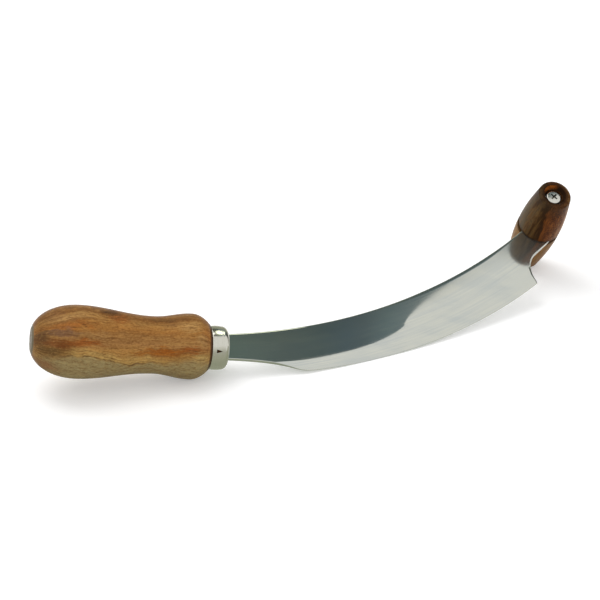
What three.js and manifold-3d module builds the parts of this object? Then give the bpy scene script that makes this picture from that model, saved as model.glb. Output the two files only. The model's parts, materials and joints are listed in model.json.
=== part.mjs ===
// Two-handed cheese knife: a curved steel blade with a turned wooden handle at its root, and at its tip
// a cross grip of two turned halves that one screw clamps to the blade. Sizes are in millimetres.
//
// The knife is built flat: X runs along the handle's axis towards the tip, Y towards the blade's spine,
// and Z out of the side with the screw head. The flat frame's origin is on the handle's axis, where the
// wood meets the ferrule. The finished knife is then laid down the way it rests on a table.

import * as THREE from "three";
import { mergeVertices } from "three/addons/utils/BufferGeometryUtils.js";
import Module from "manifold-3d";

const wasm = await Module();
wasm.setup();

// Clearance between pieces that seat on, pass through or fit into each other
const FIT_GAP = 0.2;

// Turned main handle, measured from its butt or from its front, where the ferrule starts
const HANDLE_LENGTH = 106.5;
const BUTT_RADIUS = 7.5;
const BULGE_RADIUS = 22;
const BULGE_FROM_BUTT = 27.5;
const WAIST_RADIUS = 17.2;
const WAIST_FROM_FRONT = 33.5;
const COLLAR_RADIUS = 19.8;
const COLLAR_FROM_FRONT = 10.8;
const SHOULDER_RADIUS = 13.9;

// How full the turned curves are: the share of its run for which a curve keeps its end's direction
const DOME_RISE = 0.54;
const DOME_TILT = 0.1;
const DOME_HOLD = 0.54;
const SWELL_HOLD = 0.36;
const COLLAR_HOLD = 0.4;
const SHOULDER_HOLD = 0.4;
const SHOULDER_TILT = 0.22;
const GRIP_HOLD = 0.4;
const GRIP_TAPER = 0.25;

// Ferrule: a drawn steel cap on the handle's spigot, fullest in its middle and pierced once with a punch
const FERRULE_RADIUS = 13.4;
const FERRULE_CROWN = 0.25;
const FERRULE_LENGTH = 11.2;
const FERRULE_WALL = 1;
const FERRULE_FRONT_ROUND = 4;
const FERRULE_REAR_ROUND = 0.9;
const PUNCH_SIDES = 3;
const PUNCH_RADIUS = 2.6;
const PUNCH_SQUEEZE = 0.5;
const PUNCH_DEPTH = 3.2;
const PUNCH_FROM_REAR = 4.2;
const PUNCH_ANGLE = THREE.MathUtils.degToRad(130.5);

// Blade: lengths run along the spine from the ferrule, widths are measured square to the spine
const BLADE_THICKNESS = 2.5;
const ROOT_ABOVE_AXIS = 9.5;
const ROOT_BELOW_AXIS = 8.15;
const SPINE_RADIUS = 336;
const SPINE_START_ANGLE = THREE.MathUtils.degToRad(4.9);
const RICASSO_LENGTH = 41;
const EDGE_LENGTH = 159.2;
const TAB_LENGTH = 32.5;
const HEEL_WIDTH = 30;
const BELLY_WIDTH = 33.2;
const END_WIDTH = 33.3;
const RICASSO_HOLD = 25.5;
const HEEL_RUN = 6.3;
const HEEL_SLOPE = THREE.MathUtils.degToRad(16.5);
const HEEL_BLEND = 2.6;
const END_LEAN = THREE.MathUtils.degToRad(9.5);
const NECK_FILLET = 15.5;
const BEVEL_HEIGHT = 7;
const EDGE_THICKNESS = 0.4;

// Stick tang, from the blade's shoulder back into the handle
const TANG_LENGTH = 85;
const TANG_WIDTH = 9;
const TANG_END_WIDTH = 6;
const TANG_FILLET = 1.5;

// Cross grip: two equal halves, one on each side of the ear at the blade's tip
const GRIP_HALF_LENGTH = 34;
const GRIP_BASE_RADIUS = 13.8;
const GRIP_END_RADIUS = 10.6;
const GRIP_EDGE_ROUND = 1.8;
const GRIP_FACE_RADIUS = 7.7;
const GRIP_DISH_RADIUS = 7.3;
const GRIP_BELOW_SPINE = 4.7;
const EAR_INSET = 1.4;

// Grip hardware: pan head machine screw, sleeve nut with the same head, and a plain washer under each
const SCREW_DIAMETER = 5;
const HEAD_DIAMETER = 9.5;
const HEAD_HEIGHT = 3.7;
const HEAD_CROWN = 0.7;
const HEAD_SINK = 2.4;
const CROSS_SPAN = 5.4;
const CROSS_WIDTH = 1.1;
const CROSS_DEPTH = 2.2;
const SLEEVE_DIAMETER = 7;
const SLEEVE_BACKSET = 2;
const THREAD_ENGAGEMENT = 17;
const THREAD_RUNOUT = 3;
const WASHER_DIAMETER = 10;
const WASHER_THICKNESS = 1;
const COUNTERBORE_CLEARANCE = 0.6;

// Facets
const TURNED_SEGMENTS = 40;
const HARDWARE_SEGMENTS = 24;
const GRIND_SEGMENTS = 300;
const CURVE_SEGMENTS = 12;
const PROFILE_SEGMENTS = 6;
const ROUND_SEGMENTS = 2;

// Places that several pieces share
const FERRULE_FRONT = FIT_GAP + FERRULE_LENGTH;
const BLADE_SHOULDER = FERRULE_FRONT + FIT_GAP;
const FERRULE_END_RADIUS = FERRULE_RADIUS - FERRULE_CROWN;
const SPIGOT_RADIUS = FERRULE_END_RADIUS - FERRULE_WALL - FIT_GAP;
const SPIGOT_LENGTH = FERRULE_FRONT - FERRULE_WALL - FIT_GAP;
const FERRULE_INSIDE_ROUND = FERRULE_FRONT_ROUND - FERRULE_WALL;
const SPIGOT_CHAMFER = FERRULE_INSIDE_ROUND - FIT_GAP;
const EAR_RADIUS = GRIP_BASE_RADIUS - EAR_INSET;
const GRIP_BASE = BLADE_THICKNESS / 2 + FIT_GAP;
const GRIP_END = GRIP_BASE + GRIP_HALF_LENGTH;
const HEAD_SEAT = GRIP_END - HEAD_SINK - HEAD_HEIGHT;
const WASHER_SEAT = HEAD_SEAT - FIT_GAP - WASHER_THICKNESS;
const COUNTERBORE_FLOOR = WASHER_SEAT - FIT_GAP;
const COUNTERBORE_RADIUS = WASHER_DIAMETER / 2 + COUNTERBORE_CLEARANCE;
const DISH_FLOOR = HEAD_SEAT + HEAD_HEIGHT - HEAD_CROWN;
const SCREW_HOLE_RADIUS = SCREW_DIAMETER / 2 + FIT_GAP;
const SLEEVE_HOLE_RADIUS = SLEEVE_DIAMETER / 2 + FIT_GAP;
const SLEEVE_MOUTH = BLADE_THICKNESS / 2 + SLEEVE_BACKSET;

// The spine is one arc that leaves the ferrule at a slight angle and bends up towards the tip.
const SPINE_CENTRE = new THREE.Vector2(
  BLADE_SHOULDER - SPINE_RADIUS * Math.sin(SPINE_START_ANGLE),
  ROOT_ABOVE_AXIS + SPINE_RADIUS * Math.cos(SPINE_START_ANGLE),
);
const spineAngle = (along) => SPINE_START_ANGLE + along / SPINE_RADIUS;
const spineTangent = (along) => new THREE.Vector2(Math.cos(spineAngle(along)), Math.sin(spineAngle(along)));
const spineOutward = (along) => new THREE.Vector2(Math.sin(spineAngle(along)), -Math.cos(spineAngle(along)));
const belowSpine = (along, below) =>
  SPINE_CENTRE.clone().addScaledVector(spineOutward(along), SPINE_RADIUS + below);

const HEEL_ALONG = RICASSO_LENGTH;
const END_ALONG = HEEL_ALONG + EDGE_LENGTH;
const GRIP_ALONG = END_ALONG + TAB_LENGTH;
const GRIP_AXIS = belowSpine(GRIP_ALONG, GRIP_BELOW_SPINE);

// Solids: a geometry's closed surface for joining and cutting, and back

function toSolid(geometry) {
  const bare = geometry.clone();
  bare.deleteAttribute("normal");
  bare.deleteAttribute("uv");
  const merged = mergeVertices(bare);
  return new wasm.Manifold(
    new wasm.Mesh({
      numProp: 3,
      vertProperties: merged.attributes.position.array,
      triVerts: new Uint32Array(merged.index.array),
    }),
  );
}

function toGeometry(solid) {
  const { vertProperties, triVerts } = solid.getMesh();
  const geometry = new THREE.BufferGeometry();
  geometry.setAttribute("position", new THREE.BufferAttribute(vertProperties, 3));
  geometry.setIndex(new THREE.BufferAttribute(triVerts, 1));
  const faceted = geometry.toNonIndexed();
  faceted.computeVertexNormals();
  return faceted;
}

const cut = (body, ...tools) =>
  toGeometry(tools.reduce((solid, tool) => solid.subtract(toSolid(tool)), toSolid(body)));

// Revolves: a profile of (radius, height) points turned about Y, then stood along X or Z

const alongX = (geometry) => geometry.rotateZ(-Math.PI / 2);
const alongZ = (geometry) => geometry.rotateX(Math.PI / 2);
const revolve = (path, curveSegments, segments) =>
  new THREE.LatheGeometry(path.getPoints(curveSegments), segments);

// A plain bore or ring from one height to another along Z
function bore(radius, from, to) {
  const height = to - from;
  const geometry = new THREE.CylinderGeometry(radius, radius, height, HARDWARE_SEGMENTS);
  return alongZ(geometry).translate(0, 0, from + height / 2);
}

// Outlines

// Adds the straight run up to a corner and the arc that rounds it off.
function roundCorner(outline, from, corner, to, radius) {
  const back = from.clone().sub(corner).normalize();
  const ahead = to.clone().sub(corner).normalize();
  const half = Math.acos(back.dot(ahead)) / 2;
  const start = corner.clone().addScaledVector(back, radius / Math.tan(half));
  const end = corner.clone().addScaledVector(ahead, radius / Math.tan(half));
  const centre = back.clone().add(ahead).normalize();
  centre.multiplyScalar(radius / Math.sin(half)).add(corner);
  const angleOf = (point) => point.clone().sub(centre).angle();
  outline.lineTo(start.x, start.y);
  outline.absarc(centre.x, centre.y, radius, angleOf(start), angleOf(end), back.cross(ahead) > 0);
}

// Centre and radius of the circle through three points
function circleThrough(a, b, c) {
  const u = b.clone().sub(a);
  const w = c.clone().sub(a);
  const area = 2 * u.cross(w);
  const centre = new THREE.Vector2(
    a.x + (w.y * u.lengthSq() - u.y * w.lengthSq()) / area,
    a.y + (u.x * w.lengthSq() - w.x * u.lengthSq()) / area,
  );
  return { centre, radius: centre.distanceTo(a) };
}

// Where the line through one point meets the line through another
function crossing(pointA, alongA, pointB, alongB) {
  const step = pointB.clone().sub(pointA).cross(alongB) / alongA.cross(alongB);
  return pointA.clone().addScaledVector(alongA, step);
}

const HEEL_CORNER = belowSpine(HEEL_ALONG, HEEL_WIDTH);
const END_CORNER = belowSpine(END_ALONG, END_WIDTH);
const BELLY = belowSpine((HEEL_ALONG + END_ALONG) / 2, BELLY_WIDTH);
const EDGE = circleThrough(HEEL_CORNER, BELLY, END_CORNER);

// The tang narrows evenly from the shoulder to its end; a gap makes the socket that it is driven into.
function tangOutline(gap) {
  const end = BLADE_SHOULDER - TANG_LENGTH - gap;
  const front = BLADE_SHOULDER + gap;
  const outline = new THREE.Shape();
  outline.moveTo(front, TANG_WIDTH / 2 + gap);
  outline.lineTo(end, TANG_END_WIDTH / 2 + gap);
  outline.lineTo(end, -TANG_END_WIDTH / 2 - gap);
  outline.lineTo(front, -TANG_WIDTH / 2 - gap);
  return outline;
}

// A plate of an outline, centred on the blade's middle plane
function plate(outline, thickness) {
  const geometry = new THREE.ExtrudeGeometry(outline, {
    depth: thickness,
    bevelEnabled: false,
    curveSegments: CURVE_SEGMENTS,
  });
  return geometry.translate(0, 0, -thickness / 2);
}

// The blade's outline runs round from the tang's lower side: ricasso, heel, cutting edge, end, ear, spine.
function bladeOutline() {
  const outline = new THREE.Shape();
  const tangEnd = BLADE_SHOULDER - TANG_LENGTH;
  const onTang = (side) => new THREE.Vector2(tangEnd, (side * TANG_END_WIDTH) / 2);
  const tangRoot = (side) => new THREE.Vector2(BLADE_SHOULDER, (side * TANG_WIDTH) / 2);
  const lowerRoot = new THREE.Vector2(BLADE_SHOULDER, -ROOT_BELOW_AXIS);
  const upperRoot = new THREE.Vector2(BLADE_SHOULDER, ROOT_ABOVE_AXIS);
  outline.moveTo(tangEnd, -TANG_END_WIDTH / 2);
  roundCorner(outline, onTang(-1), tangRoot(-1), lowerRoot, TANG_FILLET);
  outline.lineTo(lowerRoot.x, lowerRoot.y);

  // Ricasso: level with the ferrule at first, then falling to the heel, which is eased into the edge
  const fall = new THREE.Vector2(Math.cos(HEEL_SLOPE), -Math.sin(HEEL_SLOPE));
  const heelStart = HEEL_CORNER.clone().addScaledVector(fall, -HEEL_BLEND);
  const heelPull = HEEL_CORNER.clone().addScaledVector(fall, -HEEL_BLEND - HEEL_RUN);
  const edgeAngle = (point) => point.clone().sub(EDGE.centre).angle();
  const edgeStart = edgeAngle(HEEL_CORNER) + HEEL_BLEND / EDGE.radius;
  const edgeHeel = new THREE.Vector2(Math.cos(edgeStart), Math.sin(edgeStart));
  edgeHeel.multiplyScalar(EDGE.radius).add(EDGE.centre);
  outline.bezierCurveTo(
    lowerRoot.x + RICASSO_HOLD,
    lowerRoot.y,
    heelPull.x,
    heelPull.y,
    heelStart.x,
    heelStart.y,
  );
  outline.quadraticCurveTo(HEEL_CORNER.x, HEEL_CORNER.y, edgeHeel.x, edgeHeel.y);
  outline.absarc(EDGE.centre.x, EDGE.centre.y, EDGE.radius, edgeStart, edgeAngle(END_CORNER), false);

  // End: cut back from the edge's corner, then a hollow neck into the tab that carries the ear
  const endLine = spineOutward(END_ALONG).rotateAround(new THREE.Vector2(), Math.PI - END_LEAN);
  const tabLine = spineTangent(GRIP_ALONG);
  const earStart = GRIP_AXIS.clone().addScaledVector(spineOutward(GRIP_ALONG), EAR_RADIUS);
  const neck = crossing(END_CORNER, endLine, earStart, tabLine);
  roundCorner(outline, END_CORNER, neck, earStart, NECK_FILLET);

  // Ear: round about the grip's axis until it meets the spine
  const towards = SPINE_CENTRE.clone().sub(GRIP_AXIS);
  const reach = towards.length();
  const spread = Math.acos((EAR_RADIUS ** 2 + reach ** 2 - SPINE_RADIUS ** 2) / (2 * EAR_RADIUS * reach));
  const earEnd = new THREE.Vector2(Math.cos(towards.angle() + spread), Math.sin(towards.angle() + spread));
  earEnd.multiplyScalar(EAR_RADIUS).add(GRIP_AXIS);
  const earAngle = (point) => point.clone().sub(GRIP_AXIS).angle();
  outline.absarc(GRIP_AXIS.x, GRIP_AXIS.y, EAR_RADIUS, earAngle(earStart), earAngle(earEnd), false);

  const spineEndAngle = earEnd.clone().sub(SPINE_CENTRE).angle();
  const spineRootAngle = upperRoot.clone().sub(SPINE_CENTRE).angle();
  outline.absarc(SPINE_CENTRE.x, SPINE_CENTRE.y, SPINE_RADIUS, spineEndAngle, spineRootAngle, true);
  roundCorner(outline, upperRoot, tangRoot(1), onTang(1), TANG_FILLET);
  outline.lineTo(tangEnd, TANG_END_WIDTH / 2);

  const hole = new THREE.Path();
  hole.absarc(GRIP_AXIS.x, GRIP_AXIS.y, SCREW_HOLE_RADIUS, 0, 2 * Math.PI, true);
  outline.holes.push(hole);
  return outline;
}

// One side's grind: a ring about the edge's centre whose underside is the cone of the bevel
function grindRing(side) {
  const flat = BLADE_THICKNESS / 2;
  const slope = (flat - EDGE_THICKNESS / 2) / BEVEL_HEIGHT;
  const inner = EDGE.radius - 2 * BEVEL_HEIGHT;
  const outer = EDGE.radius + BEVEL_HEIGHT;
  const coneAt = (radius) => flat - slope * (radius - EDGE.radius + BEVEL_HEIGHT);
  const profile = new THREE.Path();
  profile.moveTo(outer, coneAt(outer));
  profile.lineTo(outer, coneAt(inner));
  profile.lineTo(inner, coneAt(inner));
  profile.lineTo(outer, coneAt(outer));
  const ring = alongZ(revolve(profile, ROUND_SEGMENTS, GRIND_SEGMENTS));
  if (side < 0) ring.rotateX(Math.PI);
  return ring.translate(EDGE.centre.x, EDGE.centre.y, 0);
}

function bladeGeometry() {
  return cut(plate(bladeOutline(), BLADE_THICKNESS), grindRing(1), grindRing(-1));
}

// Main handle: domed butt with a small flat, bulge for the palm, waist, collar, shoulder and spigot
function handleGeometry() {
  const bulge = BULGE_FROM_BUTT - HANDLE_LENGTH;
  const profile = new THREE.Path();
  const sweepTo = (height, radius, hold) => {
    const { x, y } = profile.currentPoint;
    const reach = hold * (height - y);
    profile.bezierCurveTo(x, y + reach, radius, height - reach, radius, height);
  };
  profile.moveTo(0, -HANDLE_LENGTH);
  profile.lineTo(BUTT_RADIUS, -HANDLE_LENGTH);
  profile.bezierCurveTo(
    BUTT_RADIUS + DOME_RISE * (BULGE_RADIUS - BUTT_RADIUS),
    DOME_TILT * BULGE_FROM_BUTT - HANDLE_LENGTH,
    BULGE_RADIUS,
    bulge - DOME_HOLD * BULGE_FROM_BUTT,
    BULGE_RADIUS,
    bulge,
  );
  sweepTo(-WAIST_FROM_FRONT, WAIST_RADIUS, SWELL_HOLD);
  sweepTo(-COLLAR_FROM_FRONT, COLLAR_RADIUS, COLLAR_HOLD);
  profile.bezierCurveTo(
    COLLAR_RADIUS,
    -COLLAR_FROM_FRONT * (1 - SHOULDER_HOLD),
    (COLLAR_RADIUS + SHOULDER_RADIUS) / 2,
    -COLLAR_FROM_FRONT * SHOULDER_TILT,
    SHOULDER_RADIUS,
    0,
  );
  profile.lineTo(SPIGOT_RADIUS, 0);
  profile.lineTo(SPIGOT_RADIUS, SPIGOT_LENGTH - SPIGOT_CHAMFER);
  profile.lineTo(SPIGOT_RADIUS - SPIGOT_CHAMFER, SPIGOT_LENGTH);
  profile.lineTo(0, SPIGOT_LENGTH);
  const socket = plate(tangOutline(FIT_GAP), BLADE_THICKNESS + 2 * FIT_GAP);
  return cut(alongX(revolve(profile, PROFILE_SEGMENTS, TURNED_SEGMENTS)), socket);
}

// Ferrule: a cap with a rounded front, slotted for the tang, with one punched hole in its side
function ferruleGeometry() {
  const rear = FIT_GAP;
  const inside = FERRULE_END_RADIUS - FERRULE_WALL;
  const floor = FERRULE_FRONT - FERRULE_WALL;
  const crownStart = rear + FERRULE_REAR_ROUND;
  const crownEnd = FERRULE_FRONT - FERRULE_FRONT_ROUND;
  const quarter = Math.PI / 2;
  const profile = new THREE.Path();
  profile.moveTo(0, floor);
  profile.lineTo(inside - FERRULE_INSIDE_ROUND, floor);
  profile.absarc(
    inside - FERRULE_INSIDE_ROUND,
    floor - FERRULE_INSIDE_ROUND,
    FERRULE_INSIDE_ROUND,
    quarter,
    0,
    true,
  );
  profile.lineTo(inside, rear);
  profile.absarc(
    FERRULE_END_RADIUS - FERRULE_REAR_ROUND,
    crownStart,
    FERRULE_REAR_ROUND,
    -quarter,
    0,
    false,
  );
  profile.quadraticCurveTo(
    FERRULE_RADIUS + FERRULE_CROWN,
    (crownStart + crownEnd) / 2,
    FERRULE_END_RADIUS,
    crownEnd,
  );
  profile.absarc(
    FERRULE_END_RADIUS - FERRULE_FRONT_ROUND,
    crownEnd,
    FERRULE_FRONT_ROUND,
    0,
    quarter,
    false,
  );
  profile.lineTo(0, FERRULE_FRONT);

  // The slot clears the fillets where the tang meets the blade's shoulder.
  const slotThickness = BLADE_THICKNESS + 2 * FIT_GAP;
  const slotWidth = TANG_WIDTH + 2 * (TANG_FILLET + FIT_GAP);
  const slot = new THREE.BoxGeometry(2 * FERRULE_WALL + 2 * FIT_GAP, slotWidth, slotThickness);
  slot.translate(FERRULE_FRONT, 0, 0);

  // The punch is a flattened three-sided point, at its angle round the axis, with one corner to the front.
  // It is as high above the wall's outside as it is deep below it.
  const punchHeight = 2 * PUNCH_DEPTH;
  const punch = new THREE.ConeGeometry(2 * PUNCH_RADIUS, punchHeight, PUNCH_SIDES, 1, false, quarter);
  punch.scale(1, 1, PUNCH_SQUEEZE);
  punch.rotateX(Math.PI);
  punch.translate(0, FERRULE_RADIUS - PUNCH_DEPTH + punchHeight / 2, 0);
  punch.rotateX(PUNCH_ANGLE);
  punch.translate(rear + PUNCH_FROM_REAR, 0, 0);
  return cut(alongX(revolve(profile, ROUND_SEGMENTS, TURNED_SEGMENTS)), slot, punch);
}

// One half of the cross grip, standing on the blade, with a dished counterbore for the head at its far end
function gripGeometry(holeRadius) {
  const edgeStart = GRIP_END - GRIP_EDGE_ROUND;
  const run = edgeStart - GRIP_BASE;
  const profile = new THREE.Path();
  profile.moveTo(0, GRIP_BASE);
  profile.lineTo(GRIP_BASE_RADIUS, GRIP_BASE);
  profile.bezierCurveTo(
    GRIP_BASE_RADIUS,
    GRIP_BASE + GRIP_HOLD * run,
    GRIP_END_RADIUS + GRIP_HOLD * (GRIP_BASE_RADIUS - GRIP_END_RADIUS),
    edgeStart - GRIP_TAPER * run,
    GRIP_END_RADIUS,
    edgeStart,
  );
  profile.quadraticCurveTo(GRIP_END_RADIUS, GRIP_END, GRIP_FACE_RADIUS, GRIP_END);
  profile.lineTo(0, GRIP_END);
  const hole = bore(holeRadius, 0, GRIP_END);
  const recess = new THREE.Path();
  recess.moveTo(0, COUNTERBORE_FLOOR);
  recess.lineTo(COUNTERBORE_RADIUS, COUNTERBORE_FLOOR);
  recess.lineTo(COUNTERBORE_RADIUS, DISH_FLOOR);
  recess.lineTo(GRIP_DISH_RADIUS, GRIP_END);
  recess.lineTo(GRIP_DISH_RADIUS, GRIP_END + HEAD_HEIGHT);
  recess.lineTo(0, GRIP_END + HEAD_HEIGHT);
  const turned = alongZ(revolve(profile, PROFILE_SEGMENTS, TURNED_SEGMENTS));
  return cut(turned, hole, alongZ(revolve(recess, ROUND_SEGMENTS, TURNED_SEGMENTS)));
}

// Pan head with a cross recess on a shank that ends at a given height, optionally bored from that end
function headedPin(shankRadius, shankEnd, boreRadius, boreDepth) {
  const headRadius = HEAD_DIAMETER / 2;
  const top = HEAD_SEAT + HEAD_HEIGHT;
  const profile = new THREE.Path();
  profile.moveTo(0, shankEnd);
  profile.lineTo(shankRadius, shankEnd);
  profile.lineTo(shankRadius, HEAD_SEAT);
  profile.lineTo(headRadius, HEAD_SEAT);
  profile.lineTo(headRadius, top - HEAD_CROWN);
  profile.quadraticCurveTo(headRadius - HEAD_CROWN / 2, top, 0, top);
  const recess = [0, Math.PI / 2].map((turn) => {
    const wing = new THREE.BoxGeometry(CROSS_SPAN, CROSS_WIDTH, 2 * CROSS_DEPTH);
    return wing.rotateZ(turn + Math.PI / 4).translate(0, 0, top);
  });
  const tools = boreDepth ? [...recess, bore(boreRadius, 0, shankEnd + boreDepth)] : recess;
  return cut(alongZ(revolve(profile, ROUND_SEGMENTS, HARDWARE_SEGMENTS)), ...tools);
}

function washerGeometry(holeRadius) {
  const top = WASHER_SEAT + WASHER_THICKNESS;
  return cut(bore(WASHER_DIAMETER / 2, WASHER_SEAT, top), bore(holeRadius, COUNTERBORE_FLOOR, GRIP_END));
}

// Materials
const oiledWood = { color: 0x89673c, roughness: 0.4, metalness: 0 };
const darkWood = { color: 0x573a23, roughness: 0.45, metalness: 0 };
const polishedSteel = { color: 0xb9bcb8, roughness: 0.2, metalness: 1 };
const platedSteel = { color: 0xc8c9c0, roughness: 0.25, metalness: 1 };

function piece(name, geometry, finish) {
  const mesh = new THREE.Mesh(geometry, new THREE.MeshStandardMaterial(finish));
  mesh.name = name;
  return mesh;
}

// The grip's own frame has its origin on the blade's middle plane; the rear half is turned over.
const SCREW_END = -SLEEVE_MOUTH - THREAD_ENGAGEMENT;
const SLEEVE_BORE_DEPTH = THREAD_ENGAGEMENT + THREAD_RUNOUT;
const frontSide = new THREE.Group();
frontSide.add(
  piece("front_grip", gripGeometry(SCREW_HOLE_RADIUS), darkWood),
  piece("screw_washer", washerGeometry(SCREW_HOLE_RADIUS), platedSteel),
  piece("grip_screw", headedPin(SCREW_DIAMETER / 2, SCREW_END), platedSteel),
);
const rearSide = new THREE.Group();
const sleeve = headedPin(SLEEVE_DIAMETER / 2, SLEEVE_MOUTH, SCREW_HOLE_RADIUS, SLEEVE_BORE_DEPTH);
rearSide.add(
  piece("rear_grip", gripGeometry(SLEEVE_HOLE_RADIUS), darkWood),
  piece("nut_washer", washerGeometry(SLEEVE_HOLE_RADIUS), platedSteel),
  piece("grip_sleeve_nut", sleeve, platedSteel),
);
rearSide.rotation.x = Math.PI;
const crossGrip = new THREE.Group();
crossGrip.add(frontSide, rearSide);
crossGrip.position.set(GRIP_AXIS.x, GRIP_AXIS.y, 0);

const blade = piece("blade", bladeGeometry(), polishedSteel);
const mainHandle = piece("main_handle", handleGeometry(), oiledWood);
const ferrule = piece("ferrule", ferruleGeometry(), platedSteel);
const flatKnife = new THREE.Group();
flatKnife.add(blade, mainHandle, ferrule, crossGrip);
flatKnife.updateMatrixWorld(true);

// Lying on a table the knife touches it with the handle, the cutting edge and the rim of the rear grip.
// The table's upward direction is found by standing a plane on the lowest point of each in turn.
function worldPoints(mesh) {
  const position = mesh.geometry.getAttribute("position");
  const point = (index) => new THREE.Vector3().fromBufferAttribute(position, index);
  return Array.from({ length: position.count }, (_, index) => point(index).applyMatrix4(mesh.matrixWorld));
}

function restingUp(supports) {
  const up = new THREE.Vector3(0, 1, 2).normalize();
  const lowest = (points) => points.reduce((low, point) => (point.dot(up) < low.dot(up) ? point : low));
  const rounds = 20;
  for (let round = 0; round < rounds; round += 1) {
    const [a, b, c] = supports.map(lowest);
    up.crossVectors(b.clone().sub(a), c.clone().sub(a)).normalize();
    if (up.z < 0) up.negate();
  }
  return up;
}

const rearGrip = rearSide.getObjectByName("rear_grip");
const tableUp = restingUp([mainHandle, blade, rearGrip].map(worldPoints));
const alongTable = new THREE.Vector3(1, 0, 0).projectOnPlane(tableUp).normalize();
const acrossTable = new THREE.Vector3().crossVectors(tableUp, alongTable);
const layDown = new THREE.Matrix4().makeBasis(alongTable, acrossTable, tableUp).transpose();
flatKnife.quaternion.setFromRotationMatrix(layDown);

const cheeseKnife = new THREE.Group();
cheeseKnife.name = "cheese_knife";
cheeseKnife.add(flatKnife);
cheeseKnife.updateMatrixWorld(true);
const extent = new THREE.Box3().setFromObject(cheeseKnife, true);
const middle = extent.getCenter(new THREE.Vector3());
flatKnife.position.set(-middle.x, -middle.y, -extent.min.z);

export default cheeseKnife;
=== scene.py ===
"""Looks of the two-handed cheese knife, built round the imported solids.

Shapes are in millimetres in the knife's own flat frame: x along the main handle towards the tip, y towards
the spine, z out of the blade's shown face, with the origin where the wood meets the ferrule.
LAY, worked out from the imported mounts, sets that frame down on the table.
"""

import json
import math

import bmesh
import bpy
from mathutils import Matrix, Vector


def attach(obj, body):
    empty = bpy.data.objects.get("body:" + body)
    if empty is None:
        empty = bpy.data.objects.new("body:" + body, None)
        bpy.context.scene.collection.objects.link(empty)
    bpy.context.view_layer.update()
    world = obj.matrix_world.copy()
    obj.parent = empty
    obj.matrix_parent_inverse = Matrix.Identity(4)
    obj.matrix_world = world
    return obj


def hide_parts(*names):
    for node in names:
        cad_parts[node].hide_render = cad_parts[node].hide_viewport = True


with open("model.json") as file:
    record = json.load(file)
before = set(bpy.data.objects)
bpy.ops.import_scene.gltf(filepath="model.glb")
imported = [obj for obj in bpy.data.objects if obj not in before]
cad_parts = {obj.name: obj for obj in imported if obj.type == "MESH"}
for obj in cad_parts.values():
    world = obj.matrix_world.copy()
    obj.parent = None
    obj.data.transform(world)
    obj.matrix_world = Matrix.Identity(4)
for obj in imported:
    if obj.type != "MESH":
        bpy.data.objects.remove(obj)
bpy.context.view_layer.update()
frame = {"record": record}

MM = 0.001
QUARTER = math.pi / 2

# Most sizes are the solids' own. The ricasso's hold, the heel's run and blend and the cross recess's span and
# width follow the photograph more closely here. Breaks, rolls, the rounds of the butt and of the blade's end,
# its chamfer, the grips' seat gap, the screw's point and the recess's narrowing are only in the looks.

# Clearance between pieces that seat on, pass through or fit into each other
FIT_GAP = 0.2

# Main handle, with the distance of the butt's mount from its axis, towards the blade's shown face
HANDLE_LENGTH = 106.5
BUTT_MOUNT_ASIDE = 4
BUTT_RADIUS = 7.5
BUTT_ROUND = 0.35
BUTT_ROUND_RISE = 0.3
BULGE_RADIUS = 22
BULGE_FROM_BUTT = 27.5
WAIST_RADIUS = 17.2
WAIST_FROM_FRONT = 33.5
COLLAR_RADIUS = 19.8
COLLAR_FROM_FRONT = 10.8
SHOULDER_RADIUS = 13.9

# Places of the turned curves' control points, as shares of a curve's run or rise
DOME_RISE = 0.54
DOME_TILT = 0.1
DOME_HOLD = 0.54
SWELL_HOLD = 0.36
COLLAR_HOLD = 0.4
SHOULDER_HOLD = 0.4
SHOULDER_TILT = 0.22
GRIP_HOLD = 0.4
GRIP_TAPER = 0.25

# Ferrule
FERRULE_RADIUS = 13.4
FERRULE_CROWN = 0.25
FERRULE_LENGTH = 11.2
FERRULE_WALL = 1
FERRULE_FRONT_ROUND = 4
FERRULE_REAR_ROUND = 0.9
PUNCH_SIDES = 3
PUNCH_RADIUS = 2.6
PUNCH_SQUEEZE = 0.5
PUNCH_DEPTH = 3.2
PUNCH_FROM_REAR = 4.2
PUNCH_ANGLE = math.radians(130.5)

# Blade
BLADE_THICKNESS = 2.5
ROOT_ABOVE_AXIS = 9.5
ROOT_BELOW_AXIS = 8.15
SPINE_RADIUS = 336
SPINE_START_ANGLE = math.radians(4.9)
RICASSO_LENGTH = 41
EDGE_LENGTH = 159.2
TAB_LENGTH = 32.5
HEEL_WIDTH = 30
BELLY_WIDTH = 33.2
END_WIDTH = 33.3
RICASSO_HOLD = 29
HEEL_RUN = 4.4
HEEL_SLOPE = math.radians(16.5)
HEEL_BLEND = 5.5
END_LEAN = math.radians(9.5)
NECK_FILLET = 15.5
BEVEL_HEIGHT = 7
EDGE_THICKNESS = 0.4
EDGE_BREAK = 0.8
END_ROUND = 0.7
END_CHAMFER = 0.9
END_CHAMFER_DROP = 0.42
END_CUT_RISE = 12
END_CUT_MARGIN = 2
EAR_BREAK = 0.15
RICASSO_BREAK = 0.45
SPINE_BREAK = 1.05
SPINE_ROLL_WIDTH = 2.2
SPINE_ROLL_DROP = 0.5
SPINE_ROLL_FROM = 95
SPINE_ROLL_GROWTH = 40
SPINE_ROLL_FADE = 30
SPINE_ROLL_TO_GRIP = 18
TANG_LENGTH = 85
TANG_WIDTH = 9
TANG_END_WIDTH = 6
TANG_FILLET = 1.5

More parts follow.
